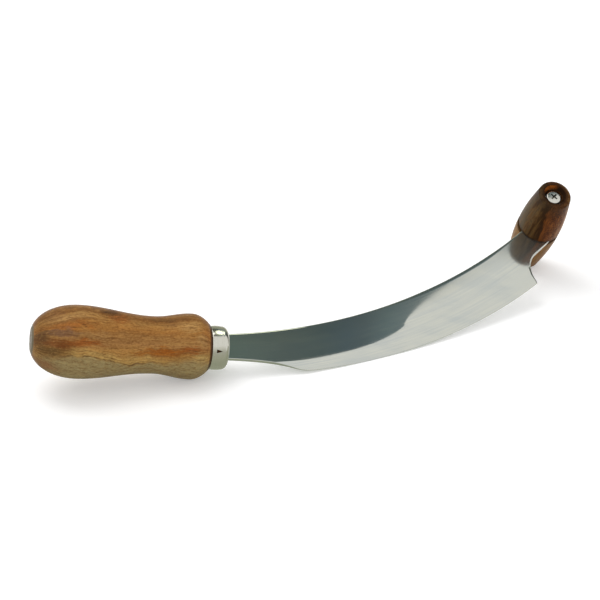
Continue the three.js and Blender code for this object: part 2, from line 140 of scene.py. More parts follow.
# Cross grip and its hardware
GRIP_HALF_LENGTH = 34
GRIP_BASE_RADIUS = 13.8
GRIP_END_RADIUS = 10.6
GRIP_EDGE_ROUND = 1.8
GRIP_FACE_RADIUS = 7.7
GRIP_DISH_RADIUS = 7.3
GRIP_BELOW_SPINE = 4.7
GRIP_BREAK = 0.3
GRIP_SEAT_GAP = 0.03
EAR_INSET = 1.4
SCREW_DIAMETER = 5
SCREW_POINT = 0.5
HEAD_DIAMETER = 9.5
HEAD_HEIGHT = 3.7
HEAD_CROWN = 0.7
HEAD_SINK = 2.4
CROSS_SPAN = 6.2
CROSS_WIDTH = 1.4
CROSS_DEPTH = 2.2
CROSS_NARROWING = 0.55
SLEEVE_DIAMETER = 7
SLEEVE_BACKSET = 2
THREAD_ENGAGEMENT = 17
THREAD_RUNOUT = 3
WASHER_DIAMETER = 10
WASHER_THICKNESS = 1
HARDWARE_BREAK = 0.15
COUNTERBORE_CLEARANCE = 0.6

# Fineness of the meshes
TURNED_SEGMENTS = 144
GRIP_SEGMENTS = 96
HARDWARE_SEGMENTS = 64
EDGE_SEGMENTS = 170
SPINE_SEGMENTS = 240
EAR_SEGMENTS = 60
NECK_SEGMENTS = 40
GRIND_SEGMENTS = 260

# Limits of the mesh code: angles at which edges turn crisp, what counts as level or as one point, and margins
CREASE = math.radians(30)
CREASE_BESIDE_LEVEL = math.radians(1)
LEVEL_NORMAL = 0.9999
SHARPEST_MITRE = 0.5
CUT_MARGIN = 1
MERGE = 1e-4
NEGLIGIBLE = 1e-6

# Places that several pieces share
FERRULE_FRONT = FIT_GAP + FERRULE_LENGTH
BLADE_SHOULDER = FERRULE_FRONT + FIT_GAP
FERRULE_END_RADIUS = FERRULE_RADIUS - FERRULE_CROWN
SPIGOT_RADIUS = FERRULE_END_RADIUS - FERRULE_WALL - FIT_GAP
SPIGOT_LENGTH = FERRULE_FRONT - FERRULE_WALL - FIT_GAP
FERRULE_INSIDE_ROUND = FERRULE_FRONT_ROUND - FERRULE_WALL
SPIGOT_CHAMFER = FERRULE_INSIDE_ROUND - FIT_GAP
EAR_RADIUS = GRIP_BASE_RADIUS - EAR_INSET
GRIP_BASE = BLADE_THICKNESS / 2 + FIT_GAP
GRIP_END = GRIP_BASE + GRIP_HALF_LENGTH
HEAD_SEAT = GRIP_END - HEAD_SINK - HEAD_HEIGHT
WASHER_SEAT = HEAD_SEAT - FIT_GAP - WASHER_THICKNESS
COUNTERBORE_FLOOR = WASHER_SEAT - FIT_GAP
COUNTERBORE_RADIUS = WASHER_DIAMETER / 2 + COUNTERBORE_CLEARANCE
DISH_FLOOR = HEAD_SEAT + HEAD_HEIGHT - HEAD_CROWN
SCREW_HOLE_RADIUS = SCREW_DIAMETER / 2 + FIT_GAP
SLEEVE_HOLE_RADIUS = SLEEVE_DIAMETER / 2 + FIT_GAP
SLEEVE_MOUTH = BLADE_THICKNESS / 2 + SLEEVE_BACKSET
SCREW_END = -SLEEVE_MOUTH - THREAD_ENGAGEMENT
SLEEVE_BORE_END = SLEEVE_MOUTH + THREAD_ENGAGEMENT + THREAD_RUNOUT

HEEL_ALONG = RICASSO_LENGTH
END_ALONG = HEEL_ALONG + EDGE_LENGTH
GRIP_ALONG = END_ALONG + TAB_LENGTH
SPINE_CENTRE = Vector(
    (
        BLADE_SHOULDER - SPINE_RADIUS * math.sin(SPINE_START_ANGLE),
        ROOT_ABOVE_AXIS + SPINE_RADIUS * math.cos(SPINE_START_ANGLE),
    )
)


def polar(centre, radius, angle):
    return centre + radius * Vector((math.cos(angle), math.sin(angle)))


def angle_from(centre, point):
    return math.atan2(point.y - centre.y, point.x - centre.x)


def spine_angle(along):
    return SPINE_START_ANGLE + along / SPINE_RADIUS - QUARTER


def below_spine(along, below):
    return polar(SPINE_CENTRE, SPINE_RADIUS + below, spine_angle(along))


GRIP_AXIS = below_spine(GRIP_ALONG, GRIP_BELOW_SPINE)


def lay_on_table():
    """The flat frame's place on the table, from the mounts on the handle's butt and on the blade's flat."""
    mounts = {mount["name"]: mount for mount in frame["record"]["mounts"]}
    along = -Vector(mounts["butt_face"]["axis"]).normalized()
    out = Vector(mounts["blade_flat"]["axis"]).normalized()
    axes = Matrix((along, out.cross(along), out)).transposed()
    butt = Vector((-HANDLE_LENGTH, 0, BUTT_MOUNT_ASIDE)) * MM
    return Matrix.Translation(Vector(mounts["butt_face"]["pos_m"]) - axes @ butt) @ axes.to_4x4()


LAY = lay_on_table()


# Paths and solids


class Path:
    """A run of points made of lines, curves and arcs."""

    def __init__(self, *start):
        self.points = [Vector(start)]

    def line(self, *end):
        self.points.append(Vector(end))

    def curve(self, *controls, steps=28):
        controls = [self.points[-1], *(Vector(c) for c in controls)]
        for step in range(1, steps + 1):
            level = controls
            while len(level) > 1:
                level = [a.lerp(b, step / steps) for a, b in zip(level, level[1:])]
            self.points.append(level[0])

    def arc(self, centre, radius, start, end, steps=16):
        centre = Vector(centre)
        for step in range(steps + 1):
            point = polar(centre, radius, start + (end - start) * step / steps)
            if (point - self.points[-1]).length > NEGLIGIBLE:
                self.points.append(point)

    def round_corner(self, start, corner, end, radius, steps):
        back = (start - corner).normalized()
        ahead = (end - corner).normalized()
        half = math.acos(back.dot(ahead)) / 2
        centre = corner + (back + ahead).normalized() * radius / math.sin(half)
        first = angle_from(centre, corner + back * radius / math.tan(half))
        last = angle_from(centre, corner + ahead * radius / math.tan(half))
        turn = (last - first + math.pi) % (2 * math.pi) - math.pi
        self.arc(centre, radius, first, first + turn, steps)


def lathe(points, segments, along="Z", closed=False):
    """A profile of (radius, height) points turned about the X or Z axis."""
    solid = bmesh.new()
    rings = []
    for radius, height in points:
        ring = []
        for step in range(segments if radius > NEGLIGIBLE else 1):
            angle = 2 * math.pi * step / segments
            a, b = radius * math.cos(angle), radius * math.sin(angle)
            ring.append(solid.verts.new((height, a, b) if along == "X" else (a, b, height)))
        rings.append(ring)
    followers = rings[1:] + (rings[:1] if closed else [])
    for lower, upper in zip(rings, followers):
        for i in range(segments):
            j = i + 1
            below = [lower[i % len(lower)], lower[j % len(lower)]]
            above = [upper[j % len(upper)], upper[i % len(upper)]]
            corners = list(dict.fromkeys(below + above))
            if len(corners) > 2:
                solid.faces.new(corners)
    bmesh.ops.recalc_face_normals(solid, faces=solid.faces)
    return solid


def loft(rows):
    """A closed solid through rows of points, with the first and the last row as its end faces."""
    solid = bmesh.new()
    rings = [[solid.verts.new(point) for point in row] for row in rows]
    for lower, upper in zip(rings, rings[1:]):
        for i, vert in enumerate(lower):
            solid.faces.new((lower[i - 1], vert, upper[i], upper[i - 1]))
    solid.faces.new(rings[0])
    solid.faces.new(rings[-1])
    bmesh.ops.remove_doubles(solid, verts=solid.verts, dist=MERGE)
    bmesh.ops.recalc_face_normals(solid, faces=solid.faces)
    return solid


def block(x, y, z, matrix):
    solid = bmesh.new()
    bmesh.ops.create_cube(solid, size=1, matrix=matrix @ Matrix.Diagonal((x, y, z, 1)))
    return solid


def add_object(name, data):
    item = bpy.data.objects.new(name, data)
    bpy.context.scene.collection.objects.link(item)
    return item


def carve(body, *tools):
    """The body with each tool's volume cut away."""
    objects = []
    for index, solid in enumerate((body, *tools)):
        mesh = bpy.data.meshes.new(f"carve{index}")
        solid.to_mesh(mesh)
        solid.free()
        objects.append(add_object(mesh.name, mesh))
    for tool in objects[1:]:
        step = objects[0].modifiers.new(tool.name, "BOOLEAN")
        step.operation = "DIFFERENCE"
        step.solver = "EXACT"
        step.object = tool
    carved = bmesh.new()
    carved.from_object(objects[0], bpy.context.evaluated_depsgraph_get())
    for item in objects:
        mesh = item.data
        bpy.data.objects.remove(item)
        bpy.data.meshes.remove(mesh)
    bmesh.ops.remove_doubles(carved, verts=carved.verts, dist=MERGE)
    return carved


def make_piece(name, solid, material, node, place=Matrix(), level=False):
    """Sets a solid down in the knife's place and has it stand for its CAD node.

    Edges sharper than CREASE stay crisp, and on a level piece also those round its flat faces.
    """
    solid.normal_update()
    for face in solid.faces:
        face.smooth = True
    for edge in solid.edges:
        angle = edge.calc_face_angle()
        beside_level = level and any(abs(face.normal.z) > LEVEL_NORMAL for face in edge.link_faces)
        edge.smooth = angle < (CREASE_BESIDE_LEVEL if beside_level else CREASE)
    bmesh.ops.transform(solid, matrix=LAY @ Matrix.Scale(MM, 4) @ place, verts=solid.verts)
    mesh = bpy.data.meshes.new(name)
    solid.to_mesh(mesh)
    solid.free()
    mesh.materials.append(material)
    piece = add_object(name, mesh)
    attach(piece, "root")
    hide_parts(node)


# Shapes


def handle_solid():
    bulge = BULGE_FROM_BUTT - HANDLE_LENGTH
    profile = Path(0, -HANDLE_LENGTH)
    profile.line(BUTT_RADIUS - BUTT_ROUND, -HANDLE_LENGTH)
    rim = (BUTT_RADIUS + BUTT_ROUND, BUTT_ROUND_RISE - HANDLE_LENGTH)
    profile.curve((BUTT_RADIUS, -HANDLE_LENGTH), rim, steps=6)
    profile.curve(
        (BUTT_RADIUS + DOME_RISE * (BULGE_RADIUS - BUTT_RADIUS), DOME_TILT * BULGE_FROM_BUTT - HANDLE_LENGTH),
        (BULGE_RADIUS, bulge - DOME_HOLD * BULGE_FROM_BUTT),
        (BULGE_RADIUS, bulge),
    )

    def sweep(height, radius, hold):
        last = profile.points[-1]
        reach = hold * (height - last.y)
        profile.curve((last.x, last.y + reach), (radius, height - reach), (radius, height))

    sweep(-WAIST_FROM_FRONT, WAIST_RADIUS, SWELL_HOLD)
    sweep(-COLLAR_FROM_FRONT, COLLAR_RADIUS, COLLAR_HOLD)
    profile.curve(
        (COLLAR_RADIUS, -(1 - SHOULDER_HOLD) * COLLAR_FROM_FRONT),
        ((COLLAR_RADIUS + SHOULDER_RADIUS) / 2, -SHOULDER_TILT * COLLAR_FROM_FRONT),
        (SHOULDER_RADIUS, 0),
    )
    profile.line(SPIGOT_RADIUS, 0)
    profile.line(SPIGOT_RADIUS, SPIGOT_LENGTH - SPIGOT_CHAMFER)
    profile.line(SPIGOT_RADIUS - SPIGOT_CHAMFER, SPIGOT_LENGTH)
    profile.line(0, SPIGOT_LENGTH)
    front = BLADE_SHOULDER + FIT_GAP
    end = BLADE_SHOULDER - TANG_LENGTH - FIT_GAP
    corners = [(front, TANG_WIDTH), (end, TANG_END_WIDTH), (end, -TANG_END_WIDTH), (front, -TANG_WIDTH)]
    corners = [(x, y / 2 + math.copysign(FIT_GAP, y)) for x, y in corners]
    half = BLADE_THICKNESS / 2 + FIT_GAP
    socket = loft([[(*corner, side) for corner in corners] for side in (-half, half)])
    return carve(lathe(profile.points, TURNED_SEGMENTS, "X"), socket)


def ferrule_solid():
    rear = FIT_GAP
    inside = FERRULE_END_RADIUS - FERRULE_WALL
    floor = FERRULE_FRONT - FERRULE_WALL
    crown_start = rear + FERRULE_REAR_ROUND
    crown_end = FERRULE_FRONT - FERRULE_FRONT_ROUND
    inside_centre = (inside - FERRULE_INSIDE_ROUND, floor - FERRULE_INSIDE_ROUND)
    rear_centre = (FERRULE_END_RADIUS - FERRULE_REAR_ROUND, crown_start)
    front_centre = (FERRULE_END_RADIUS - FERRULE_FRONT_ROUND, crown_end)
    crown = (FERRULE_RADIUS + FERRULE_CROWN, (crown_start + crown_end) / 2)
    profile = Path(0, floor)
    profile.arc(inside_centre, FERRULE_INSIDE_ROUND, QUARTER, 0)
    profile.line(inside, rear)
    profile.arc(rear_centre, FERRULE_REAR_ROUND, -QUARTER, 0, steps=10)
    profile.curve(crown, (FERRULE_END_RADIUS, crown_end), steps=24)
    profile.arc(front_centre, FERRULE_FRONT_ROUND, 0, QUARTER, steps=24)
    profile.line(0, FERRULE_FRONT)
    slot = block(
        2 * FERRULE_WALL + 2 * FIT_GAP,
        TANG_WIDTH + 2 * (TANG_FILLET + FIT_GAP),
        BLADE_THICKNESS + 2 * FIT_GAP,
        Matrix.Translation((FERRULE_FRONT, 0, 0)),
    )
    punch = lathe([(0, 0), (2 * PUNCH_RADIUS, 2 * PUNCH_DEPTH), (0, 2 * PUNCH_DEPTH)], PUNCH_SIDES)
    to_wall = (
        Matrix.Translation((rear + PUNCH_FROM_REAR, 0, 0))
        @ Matrix.Rotation(PUNCH_ANGLE - QUARTER, 4, "X")
        @ Matrix.Translation((0, 0, FERRULE_RADIUS - PUNCH_DEPTH))
        @ Matrix.Diagonal((1, PUNCH_SQUEEZE, 1, 1))
    )
    bmesh.ops.transform(punch, matrix=to_wall, verts=punch.verts)
    return carve(lathe(profile.points, TURNED_SEGMENTS, "X"), slot, punch)


def edge_arc():
    """Centre and radius of the cutting edge's arc, through its heel, belly and end."""
    heel = below_spine(HEEL_ALONG, HEEL_WIDTH)
    belly = below_spine((HEEL_ALONG + END_ALONG) / 2, BELLY_WIDTH) - heel
    end = below_spine(END_ALONG, END_WIDTH) - heel
    area = 2 * (belly.x * end.y - belly.y * end.x)
    offset = Vector(
        (
            (end.y * belly.length_squared - belly.y * end.length_squared) / area,
            (belly.x * end.length_squared - end.x * belly.length_squared) / area,
        )
    )
    return heel + offset, offset.length


EDGE_CENTRE, EDGE_RADIUS = edge_arc()


def end_direction():
    lean = spine_angle(END_ALONG) + math.pi - END_LEAN
    return Vector((math.cos(lean), math.sin(lean)))


def blade_outline():
    tang_end = BLADE_SHOULDER - TANG_LENGTH
    lower_end = Vector((tang_end, -TANG_END_WIDTH / 2))
    upper_end = Vector((tang_end, TANG_END_WIDTH / 2))
    heel = below_spine(HEEL_ALONG, HEEL_WIDTH)
    end = below_spine(END_ALONG, END_WIDTH)
    lower_root = Vector((BLADE_SHOULDER, -ROOT_BELOW_AXIS))
    upper_root = Vector((BLADE_SHOULDER, ROOT_ABOVE_AXIS))
    lower_tang = Vector((BLADE_SHOULDER, -TANG_WIDTH / 2))
    upper_tang = Vector((BLADE_SHOULDER, TANG_WIDTH / 2))
    outline = Path(*lower_end)
    rounds = []

    def rounded(size):
        """Gives the points since the last call a rim of one width and drop."""
        rounds.extend([(size, size)] * (len(outline.points) - len(rounds)))

    outline.round_corner(lower_end, lower_tang, lower_root, TANG_FILLET, steps=6)
    rounded(0)
    outline.line(*lower_root)
    fall = Vector((math.cos(HEEL_SLOPE), -math.sin(HEEL_SLOPE)))
    pull = heel - fall * (HEEL_BLEND + HEEL_RUN)
    outline.curve(lower_root + Vector((RICASSO_HOLD, 0)), pull, heel - fall * HEEL_BLEND, steps=48)
    rounded(RICASSO_BREAK)
    edge_start = angle_from(EDGE_CENTRE, heel) + HEEL_BLEND / EDGE_RADIUS
    outline.curve(heel, polar(EDGE_CENTRE, EDGE_RADIUS, edge_start), steps=14)
    edge_end = angle_from(EDGE_CENTRE, end) - END_ROUND / EDGE_RADIUS
    outline.arc(EDGE_CENTRE, EDGE_RADIUS, edge_start, edge_end, EDGE_SEGMENTS)
    rounded(0)

    end_line = end_direction()
    tab = spine_angle(GRIP_ALONG)
    tab_line = Vector((-math.sin(tab), math.cos(tab)))
    ear_start = polar(GRIP_AXIS, EAR_RADIUS, tab)
    gap = ear_start - end
    step = (gap.x * tab_line.y - gap.y * tab_line.x) / (end_line.x * tab_line.y - end_line.y * tab_line.x)
    outline.curve(end, end + end_line * END_ROUND, steps=6)
    rounded(0)
    outline.line(*(end + end_line * 2 * EDGE_BREAK))
    outline.round_corner(end, end + end_line * step, ear_start, NECK_FILLET, NECK_SEGMENTS)

    reach = (SPINE_CENTRE - GRIP_AXIS).length
    spread = math.acos((EAR_RADIUS**2 + reach**2 - SPINE_RADIUS**2) / (2 * EAR_RADIUS * reach))
    ear_end = angle_from(GRIP_AXIS, SPINE_CENTRE) + spread
    rounded(EDGE_BREAK)
    outline.arc(GRIP_AXIS, EAR_RADIUS, tab, ear_end, EAR_SEGMENTS)
    rounded(EAR_BREAK)
    spine_end = angle_from(SPINE_CENTRE, outline.points[-1])
    outline.arc(SPINE_CENTRE, SPINE_RADIUS, spine_end, spine_angle(0), SPINE_SEGMENTS)
    for point in outline.points[len(rounds) :]:
        along = (angle_from(SPINE_CENTRE, point) - spine_angle(0)) * SPINE_RADIUS
        grown = (along - SPINE_ROLL_FROM) / SPINE_ROLL_GROWTH
        faded = (GRIP_ALONG - SPINE_ROLL_TO_GRIP - along) / SPINE_ROLL_FADE
        roll = max(0, min(1, grown, faded))
        width = SPINE_BREAK + (SPINE_ROLL_WIDTH - SPINE_BREAK) * roll
        rounds.append((width, SPINE_BREAK + (SPINE_ROLL_DROP - SPINE_BREAK) * roll))
    outline.round_corner(upper_root, upper_tang, upper_end, TANG_FILLET, steps=6)
    outline.line(*upper_end)
    rounded(0)
    return outline.points, rounds


def rounded_plate(points, rounds, half, steps=6):
    """A plate of an outline whose rims are rounded by each point's own width and drop."""
    inward = []
    for before, point, after in zip(points[-1:] + points[:-1], points, points[1:] + points[:1]):
        from_before = Vector((before.y - point.y, point.x - before.x)).normalized()
        to_after = Vector((point.y - after.y, after.x - point.x)).normalized()
        middle = (from_before + to_after).normalized()
        inward.append(middle / max(middle.dot(from_before), SHARPEST_MITRE))
    rows = []
    for side, turns in ((-1, range(steps, -1, -1)), (1, range(steps + 1))):
        for turn in turns:
            angle = QUARTER * turn / steps
            row = []
            for point, (width, drop), into in zip(points, rounds, inward):
                place = point + into * width * (1 - math.cos(angle))
                row.append((*place, side * (half - drop * (1 - math.sin(angle)))))
            rows.append(row)
    return loft(rows)


def grind_solid(side):
    """The sector of a ring about the edge's centre whose underside is the cone of one side's bevel."""
    flat = BLADE_THICKNESS / 2
    slope = (flat - EDGE_THICKNESS / 2) / BEVEL_HEIGHT
    inner = EDGE_RADIUS - 2 * BEVEL_HEIGHT
    outer = EDGE_RADIUS + BEVEL_HEIGHT
    cone = [flat - slope * (radius - EDGE_RADIUS + BEVEL_HEIGHT) for radius in (inner, outer)]
    corners = [(outer, cone[1]), (outer, cone[0]), (inner, cone[0])]
    first = angle_from(EDGE_CENTRE, below_spine(0, HEEL_WIDTH))
    last = angle_from(EDGE_CENTRE, below_spine(GRIP_ALONG, END_WIDTH))
    rows = []
    for step in range(GRIND_SEGMENTS + 1):
        angle = first + (last - first) * step / GRIND_SEGMENTS
        rows.append([(*polar(EDGE_CENTRE, radius, angle), side * height) for radius, height in corners])
    return loft(rows)


def end_chamfer(side):
    """A block whose underside is the plane that takes the corner off the bevel along the blade's end."""
    end = below_spine(END_ALONG, END_WIDTH)
    along = end_direction()
    inward = Vector((-along.y, along.x))
    rise = (BLADE_THICKNESS - EDGE_THICKNESS) / 2 / BEVEL_HEIGHT
    top = 2 * BLADE_THICKNESS
    rows = [[], []]
    low, high, aside = -END_CUT_MARGIN, END_CUT_RISE, END_CUT_MARGIN
    for up, into in ((low, -aside), (high, -aside), (high, aside), (low, aside)):
        point = end + along * up + inward * into
        under = EDGE_THICKNESS / 2 + rise * up + (into - END_CHAMFER) * END_CHAMFER_DROP / END_CHAMFER
        for row, height in zip(rows, (under, top)):
            row.append((*point, side * height))
    return loft(rows)


def blade_solid():
    half = BLADE_THICKNESS / 2
    reach = half + CUT_MARGIN
    drill = [(0, -reach), (SCREW_HOLE_RADIUS, -reach), (SCREW_HOLE_RADIUS, reach), (0, reach)]
    hole = lathe(drill, HARDWARE_SEGMENTS)
    bmesh.ops.translate(hole, vec=(*GRIP_AXIS, 0), verts=hole.verts)
    cuts = [tool(side) for tool in (grind_solid, end_chamfer) for side in (1, -1)]
    return carve(rounded_plate(*blade_outline(), half), *cuts, hole)


def grip_solid(hole_radius):
    edge_start = GRIP_END - GRIP_EDGE_ROUND
    run = edge_start - GRIP_BASE
    foot = BLADE_THICKNESS / 2 + GRIP_SEAT_GAP
    profile = Path(hole_radius, foot)
    profile.line(GRIP_BASE_RADIUS - GRIP_BREAK, foot)
    profile.curve((GRIP_BASE_RADIUS, foot), (GRIP_BASE_RADIUS, foot + GRIP_BREAK), steps=4)
    narrowed = GRIP_END_RADIUS + GRIP_HOLD * (GRIP_BASE_RADIUS - GRIP_END_RADIUS)
    profile.curve(
        (GRIP_BASE_RADIUS, GRIP_BASE + GRIP_HOLD * run),
        (narrowed, edge_start - GRIP_TAPER * run),
        (GRIP_END_RADIUS, edge_start),
        steps=40,
    )
    profile.curve((GRIP_END_RADIUS, GRIP_END), (GRIP_FACE_RADIUS, GRIP_END), steps=16)
    profile.line(GRIP_DISH_RADIUS, GRIP_END)
    profile.line(COUNTERBORE_RADIUS, DISH_FLOOR)
    profile.line(COUNTERBORE_RADIUS, COUNTERBORE_FLOOR)
    profile.line(hole_radius, COUNTERBORE_FLOOR)
    return lathe(profile.points, GRIP_SEGMENTS, closed=True)


def head_profile(profile, shank_radius):
    """Adds a shank's upper part and a crowned head to a profile."""
    head = HEAD_DIAMETER / 2
    top = HEAD_SEAT + HEAD_HEIGHT
    profile.line(shank_radius, HEAD_SEAT)
    profile.line(head - HARDWARE_BREAK, HEAD_SEAT)
    profile.line(head, HEAD_SEAT + HARDWARE_BREAK)
    profile.line(head, top - HEAD_CROWN)
    profile.curve((head - HEAD_CROWN / 2, top), (0, top), steps=24)


def cross_recess():
    """Two crossed wings that narrow towards the bottom of the recess."""
    top = HEAD_SEAT + HEAD_HEIGHT
    wings = []
    for turn in (QUARTER / 2, 3 * QUARTER / 2):
        place = Matrix.Translation((0, 0, top)) @ Matrix.Rotation(turn, 4, "Z")
        wing = block(CROSS_SPAN, CROSS_WIDTH, 2 * CROSS_DEPTH, place)
        for vert in wing.verts:
            if vert.co.z < top:
                vert.co.x *= CROSS_NARROWING
                vert.co.y *= CROSS_NARROWING
        wings.append(wing)
    return wings


def screw_solid():
    profile = Path(0, SCREW_END)
    profile.line(SCREW_DIAMETER / 2 - SCREW_POINT, SCREW_END)
    profile.line(SCREW_DIAMETER / 2, SCREW_END + SCREW_POINT)
    head_profile(profile, SCREW_DIAMETER / 2)
    return carve(lathe(profile.points, HARDWARE_SEGMENTS), *cross_recess())


def sleeve_solid():
    profile = Path(0, SLEEVE_BORE_END)
    profile.line(SCREW_HOLE_RADIUS, SLEEVE_BORE_END)
    profile.line(SCREW_HOLE_RADIUS, SLEEVE_MOUTH)
    profile.line(SLEEVE_DIAMETER / 2, SLEEVE_MOUTH)
    head_profile(profile, SLEEVE_DIAMETER / 2)
    return carve(lathe(profile.points, HARDWARE_SEGMENTS), *cross_recess())


def washer_solid(hole_radius):
    outer = WASHER_DIAMETER / 2
    top = WASHER_SEAT + WASHER_THICKNESS
    profile = Path(hole_radius, WASHER_SEAT)
    profile.line(outer - HARDWARE_BREAK, WASHER_SEAT)
    profile.line(outer, WASHER_SEAT + HARDWARE_BREAK)
    profile.line(outer, top - HARDWARE_BREAK)
    profile.line(outer - HARDWARE_BREAK, top)
    profile.line(hole_radius, top)
    return lathe(profile.points, HARDWARE_SEGMENTS, closed=True)


# Materials


def tone(red, green, blue):
    """A colour as eye and screen show it, in the linear numbers that a shader takes."""
    shares = [channel / 255 for channel in (red, green, blue)]
    linear = [share / 12.92 if share <= 0.04045 else ((share + 0.055) / 1.055) ** 2.4 for share in shares]
    return (*linear, 1)


class Nodes:
    """A tree of shader nodes, added in code."""

    def __init__(self, tree):
        self.tree = tree

    def feed(self, socket, value):
        if isinstance(value, bpy.types.NodeSocket):
            self.tree.links.new(value, socket)
        else:
            socket.default_value = value

    def node(self, kind, *values, **settings):
        """A node with some settings, whose first inputs are fed with values."""
        node = self.tree.nodes.new(kind)
        for name, setting in settings.items():
            setattr(node, name, setting)
        for socket, value in zip(node.inputs, values):
            self.feed(socket, value)
        return node

    def math(self, operation, result, *others):
        """An operation on one value, or on it and each further value in turn."""
        for other in others or (0,):
            result = self.node("ShaderNodeMath", result, other, operation=operation).outputs[0]
        return result

    def product(self, *values):
        return self.math("MULTIPLY", *values)

    def total(self, *values):
        return self.math("ADD", *values)

    def seen_directly(self):
        """1 for what the camera, a mirror or a glass shows, 0 for what only lights the scene."""
        rays = self.node("ShaderNodeLightPath").outputs
        kinds = ("Is Camera Ray", "Is Glossy Ray", "Is Transmission Ray")
        return self.math("MAXIMUM", *(rays[kind] for kind in kinds))


class Shader(Nodes):
    """A material's nodes, with the place in the flat frame, in millimetres, and the colour so far."""

    def __init__(self, name, **sockets):
        self.material = bpy.data.materials.new(name)
        self.material.use_nodes = True
        super().__init__(self.material.node_tree)
        self.surface = self.tree.nodes["Principled BSDF"]
        self.in_metres = self.node("ShaderNodeTexCoord").outputs["Object"]
        lay = (LAY.translation, LAY.to_euler(), (MM, MM, MM))
        self.place = self.node("ShaderNodeMapping", self.in_metres, *lay, vector_type="TEXTURE").outputs[0]
        self.colour = None
        self.paint(**sockets)

    def vector(self, operation, *values):
        node = self.node("ShaderNodeVectorMath", *values, operation=operation)
        return node.outputs["Value" if operation in ("DOT_PRODUCT", "LENGTH", "DISTANCE") else "Vector"]

    def split(self, vector):
        return self.node("ShaderNodeSeparateXYZ", vector).outputs

    def join(self, x, y, z):
        return self.node("ShaderNodeCombineXYZ", x, y, z).outputs[0]

    def noise(self, scales, detail, rough=0.5, warp=0, place=None):
        """Noise over the flat frame, or over another place, stretched by a scale along each axis."""
        place = self.vector("MULTIPLY", self.place if place is None else place, scales)
        node = self.node("ShaderNodeTexNoise", place)
        for name, value in (("Scale", 1), ("Detail", detail), ("Roughness", rough), ("Distortion", warp)):
            node.inputs[name].default_value = value
        return node.outputs["Fac"]

    def remap(self, value, low, high, to_low=0, to_high=1, kind="SMOOTHSTEP"):
        values = (value, low, high, to_low, to_high)
        return self.node("ShaderNodeMapRange", *values, interpolation_type=kind).outputs[0]

    def ramp(self, value, stops, span=None, kind="LINEAR"):
        """Colours that follow a value through stops, over a given span or from the first stop to the last."""
        low, high = span or (stops[0][0], stops[-1][0])
        node = self.node("ShaderNodeValToRGB", self.remap(value, low, high, kind="LINEAR"))
        node.color_ramp.interpolation = kind
        elements = node.color_ramp.elements
        while len(elements) < len(stops):
            elements.new(0.5)
        for element, (place, colour) in zip(elements, stops):
            element.position = (place - low) / (high - low)
            element.color = colour
        return node.outputs[0]

    def mix(self, factor, a, b):
        node = self.node("ShaderNodeMix", factor, data_type="RGBA")
        self.feed(node.inputs[6], a)
        self.feed(node.inputs[7], b)
        return node.outputs[2]

    def blend(self, factor, shade):
        """Lays a shade, given as a socket or as red, green and blue, over the colour so far."""
        self.colour = self.mix(factor, self.colour, tone(*shade) if isinstance(shade, tuple) else shade)

    def bump(self, height, strength, distance):
        node = self.node("ShaderNodeBump", strength, distance)
        self.feed(node.inputs["Height"], height)
        self.feed(self.surface.inputs["Normal"], node.outputs[0])

    def paint(self, **sockets):
        for socket, value in sockets.items():
            self.feed(self.surface.inputs[socket.replace("_", " ")], value)


# Where the blade's steel is hazier, along the spine and as distances from the grip, and how far it is shaded
# below the spine
HAZE_FROM = 135
HAZE_FULL = 165
GRIP_HAZE_FROM = 50
GRIP_HAZE_FULL = 22
SHADE_BELOW_SPINE = 14


def blade_steel():
    steel = Shader("polished_blade_steel", Metallic=0.93)
    x, y, z = steel.split(steel.place)
    from_x = steel.math("SUBTRACT", x, SPINE_CENTRE.x)
    from_y = steel.math("SUBTRACT", SPINE_CENTRE.y, y)
    along = steel.product(steel.math("ARCTAN2", from_x, from_y), SPINE_RADIUS)
    across = steel.vector("LENGTH", steel.join(from_x, from_y, 0))
    curved = steel.join(along, across, z)

    def strokes(lengthwise, crosswise, detail):
        return steel.noise((lengthwise, crosswise, 1), detail, place=curved)

    grinding = strokes(0.02, 1.6, 4)
    hairlines = strokes(0.05, 7, 2)
    smears = steel.noise((0.03, 0.1, 0.1), 3)
    steel.colour = steel.mix(steel.remap(grinding, 0.3, 0.7), tone(193, 196, 190), tone(203, 204, 193))
    steel.blend(steel.remap(smears, 0.4, 0.7, 0, 0.3), (172, 180, 182))
    steel.blend(steel.remap(across, SPINE_RADIUS + SHADE_BELOW_SPINE, SPINE_RADIUS, 0, 0.3), (162, 163, 152))
    steel.blend(steel.remap(hairlines, 0.6, 0.74, 0, 0.2), (138, 144, 144))

    # The polish is hazier towards the tip and round the grip.
    polish = steel.total(steel.product(smears, 0.6), grinding)
    polish = steel.remap(polish, 0.5, 1.1, 0.008, 0.02)
    haze = steel.remap(along, HAZE_FROM, HAZE_FULL, 0, 0.02)
    from_grip = steel.vector("DISTANCE", steel.place, (*GRIP_AXIS, BLADE_THICKNESS / 2))
    near_grip = steel.remap(from_grip, GRIP_HAZE_FROM, GRIP_HAZE_FULL, 0, 0.14)
    steel.paint(Base_Color=steel.colour, Roughness=steel.total(polish, haze, near_grip))
    steel.bump(grinding, 0.012, 0.00001)
    return steel.material


